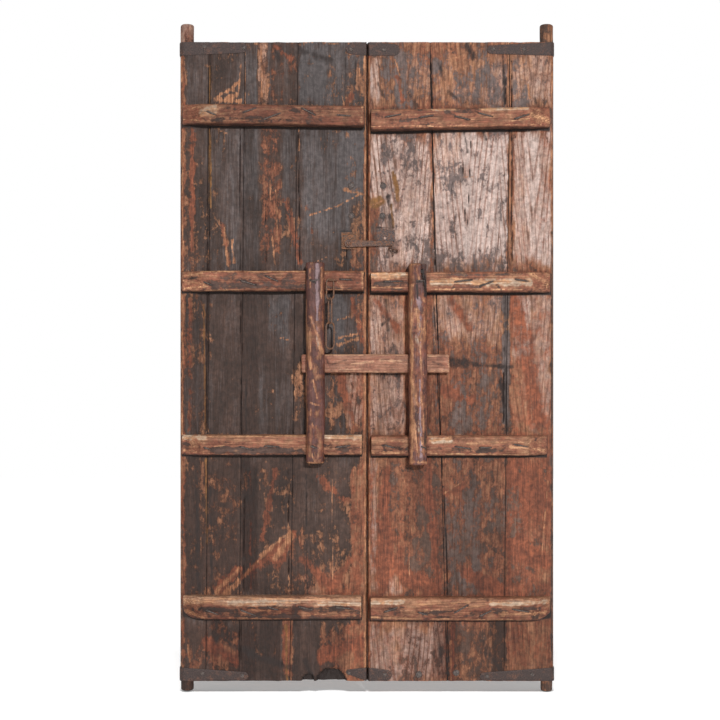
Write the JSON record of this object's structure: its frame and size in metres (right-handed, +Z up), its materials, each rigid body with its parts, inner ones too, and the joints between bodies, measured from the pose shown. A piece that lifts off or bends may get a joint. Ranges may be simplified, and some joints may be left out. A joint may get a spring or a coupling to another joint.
{
  "type": "barred pair of plank door leaves",
  "caption": "Weathered pair of plank door leaves on round wooden pintles, with battens, corner straps, a sliding bar, a hook latch and a short chain.",
  "frame": {"origin": "bottom centre of the pair's box: level with the lower pintle tips, midway between the outer edges and midway between the front and the back", "axes": "+Z up, +X to the right seen from the barred side, -Y out of the barred side"},
  "size_m": [1.179, 0.1254, 2.1],
  "materials": {
    "dark_planks": "weathered boards with worn dark paint",
    "brown_planks": "weathered bare boards, grain raised",
    "batten_wood": "worn red-brown paint, edges bare",
    "keeper_wood": "worn dark red-brown paint, chipped",
    "bar_wood": "bare wood, rubbed smooth",
    "strap_iron": "rusted wrought iron",
    "nail_iron": "rusted forged iron",
    "latch_iron": "rusted forged iron, handled",
    "chain_iron": "rusted forged wire"
  },
  "bodies": {
    "right_leaf": {"right_pivot_stile": "brown_planks", "right_outer_board": "brown_planks", "right_inner_board": "brown_planks", "right_top_batten": "batten_wood", "right_upper_batten": "batten_wood", "right_lower_batten": "batten_wood", "right_bottom_batten": "batten_wood", "right_keeper": "keeper_wood", "right_top_outer_strap": "strap_iron", "right_top_inner_strap": "strap_iron", "right_bottom_outer_strap": "strap_iron", "right_bottom_inner_strap": "strap_iron", "right_batten_nails": "nail_iron", "right_keeper_nails": "nail_iron", "right_strap_nails": "nail_iron", "right_studs": "nail_iron", "eye_plate": "latch_iron", "eye_staple": "latch_iron"},
    "left_leaf": {"left_pivot_stile": "dark_planks", "left_outer_board": "dark_planks", "left_middle_board": "dark_planks", "left_inner_board": "dark_planks", "left_top_batten": "batten_wood", "left_upper_batten": "batten_wood", "left_lower_batten": "batten_wood", "left_bottom_batten": "batten_wood", "left_keeper": "keeper_wood", "left_top_outer_strap": "strap_iron", "left_top_inner_strap": "strap_iron", "left_bottom_outer_strap": "strap_iron", "left_bottom_inner_strap": "strap_iron", "left_batten_nails": "nail_iron", "left_keeper_nails": "nail_iron", "left_strap_nails": "nail_iron", "left_studs": "nail_iron", "hook_plate": "latch_iron", "hook_pivot": "latch_iron", "chain_staple": "chain_iron"},
    "lock_bar": {"lock_bar": "bar_wood"},
    "latch_hook": {"latch_hook": "latch_iron"},
    "chain_link_1": {"chain_link_1": "chain_iron"},
    "chain_link_2": {"chain_link_2": "chain_iron"},
    "chain_link_3": {"chain_link_3": "chain_iron"}
  },
  "joints": [
    {"name": "left_leaf_swing", "type": "hinge", "parent": "right_leaf", "child": "left_leaf", "pos_m": [-0.566, 0.03725, 1.04], "axis": [0, 0, 1], "range_deg": [-0.4, 0]},
    {"name": "bar_slide", "type": "slide", "parent": "right_leaf", "child": "lock_bar", "axis": [1, 0, 0], "range_m": [0, 0.207]},
    {"name": "hook_lift", "type": "hinge", "parent": "left_leaf", "child": "latch_hook", "pos_m": [-0.057, 0.00725, 1.4085], "axis": [0, -1, 0], "range_deg": [0, 100]},
    {"name": "link_1_swing", "type": "hinge", "parent": "left_leaf", "child": "chain_link_1", "pos_m": [-0.1147, -0.03775, 1.2915], "axis": [-1, 0, 0], "range_deg": [0, 90]},
    {"name": "link_2_swing", "type": "hinge", "parent": "chain_link_1", "child": "chain_link_2", "pos_m": [-0.1147, -0.03775, 1.2313], "axis": [-0.8192, -0.5736, 0], "range_deg": [0, 80]},
    {"name": "link_3_swing", "type": "hinge", "parent": "chain_link_2", "child": "chain_link_3", "pos_m": [-0.1147, -0.03775, 1.1612], "axis": [-0.8192, -0.5736, 0], "range_deg": [0, 60]}
  ]
}
